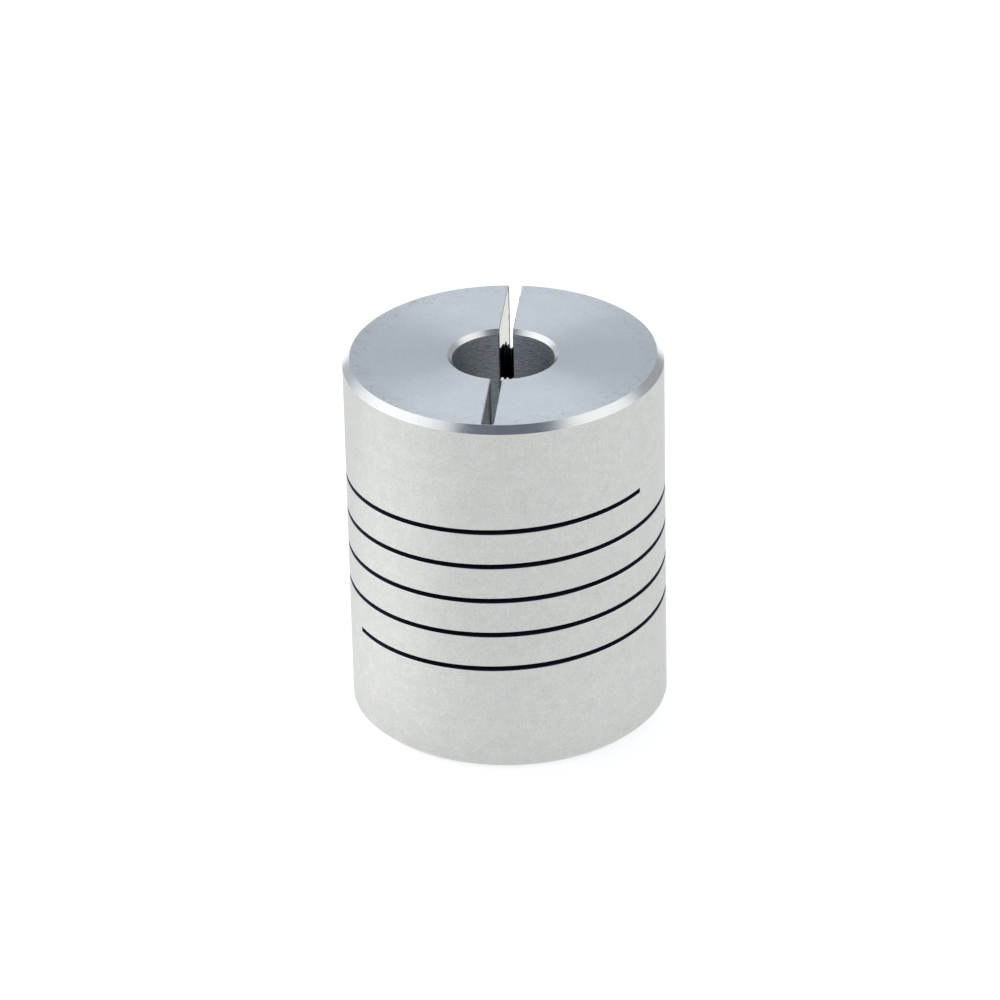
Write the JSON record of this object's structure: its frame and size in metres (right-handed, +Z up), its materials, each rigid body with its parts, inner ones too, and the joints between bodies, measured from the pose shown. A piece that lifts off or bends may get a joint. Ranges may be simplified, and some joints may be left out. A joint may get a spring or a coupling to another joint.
{
  "type": "beam coupling",
  "caption": "Cylindrical one-piece beam coupling with a helical slit for flexing, a through bore and a slotted screw clamp in each end, for joining two shafts.",
  "frame": {"origin": "centre of the lower end face, on the bore's axis", "axes": "+Z up along the bore; both clamp slots open towards +Y; the clamp screws' heads are on the -X side"},
  "size_m": [0.025, 0.025, 0.03],
  "materials": {
    "turned_aluminium": "satin turned, bright chamfers",
    "black_oxide_steel": "black oxide"
  },
  "bodies": {
    "lower_hub": {"lower_hub": "turned_aluminium"},
    "lower_jaw": {"lower_jaw": "turned_aluminium"},
    "lower_clamp_screw": {"lower_clamp_screw": "black_oxide_steel"},
    "coil_1": {"coil_1": "turned_aluminium"},
    "coil_2": {"coil_2": "turned_aluminium"},
    "coil_3": {"coil_3": "turned_aluminium"},
    "coil_4": {"coil_4": "turned_aluminium"},
    "coil_5": {"coil_5": "turned_aluminium"},
    "coil_6": {"coil_6": "turned_aluminium"},
    "upper_hub": {"upper_hub": "turned_aluminium"},
    "upper_jaw": {"upper_jaw": "turned_aluminium"},
    "upper_clamp_screw": {"upper_clamp_screw": "black_oxide_steel"}
  },
  "joints": [
    {"name": "lower_bend_x", "type": "hinge", "parent": "lower_hub", "child": "coil_1", "pos_m": [0, 0, 0.0105], "axis": [1, 0, 0], "range_deg": [-1, 1], "stiffness_Nm_per_rad": 11},
    {"name": "lower_bend_y", "type": "hinge", "parent": "coil_1", "child": "coil_2", "pos_m": [0, 0, 0.012], "axis": [0, 1, 0], "range_deg": [-1, 1], "stiffness_Nm_per_rad": 11},
    {"name": "lower_stretch", "type": "slide", "parent": "coil_2", "child": "coil_3", "axis": [0, 0, 1], "range_m": [-0.0001, 0.0001], "stiffness_N_per_m": 178000},
    {"name": "middle_twist", "type": "hinge", "parent": "coil_3", "child": "coil_4", "pos_m": [0, 0, 0.015], "axis": [0, 0, 1], "range_deg": [-1, 1], "stiffness_Nm_per_rad": 53},
    {"name": "upper_stretch", "type": "slide", "parent": "coil_4", "child": "coil_5", "axis": [0, 0, 1], "range_m": [-0.0001, 0.0001], "stiffness_N_per_m": 178000},
    {"name": "upper_bend_y", "type": "hinge", "parent": "coil_5", "child": "coil_6", "pos_m": [0, 0, 0.018], "axis": [0, 1, 0], "range_deg": [-1, 1], "stiffness_Nm_per_rad": 11},
    {"name": "upper_bend_x", "type": "hinge", "parent": "coil_6", "child": "upper_hub", "pos_m": [0, 0, 0.0195], "axis": [1, 0, 0], "range_deg": [-1, 1], "stiffness_Nm_per_rad": 11},
    {"name": "lower_jaw_squeeze", "type": "hinge", "parent": "lower_hub", "child": "lower_jaw", "pos_m": [0, -0.0122, 0.005], "axis": [0, 0, 1], "range_deg": [0, 0.71]},
    {"name": "lower_screw_turn", "type": "hinge", "parent": "lower_hub", "child": "lower_clamp_screw", "pos_m": [-0.0028, 0.00825, 0.005], "axis": [1, 0, 0], "range_deg": [0, 180]},
    {"name": "upper_jaw_squeeze", "type": "hinge", "parent": "upper_hub", "child": "upper_jaw", "pos_m": [0, -0.0122, 0.025], "axis": [0, 0, 1], "range_deg": [0, 0.71]},
    {"name": "upper_screw_turn", "type": "hinge", "parent": "upper_hub", "child": "upper_clamp_screw", "pos_m": [-0.0028, 0.00825, 0.025], "axis": [1, 0, 0], "range_deg": [0, 180]}
  ],
  "couplings": [
    {"joint": "lower_jaw_squeeze", "follows": "lower_screw_turn", "ratio": 0.0038913},
    {"joint": "upper_jaw_squeeze", "follows": "upper_screw_turn", "ratio": 0.0038913}
  ]
}
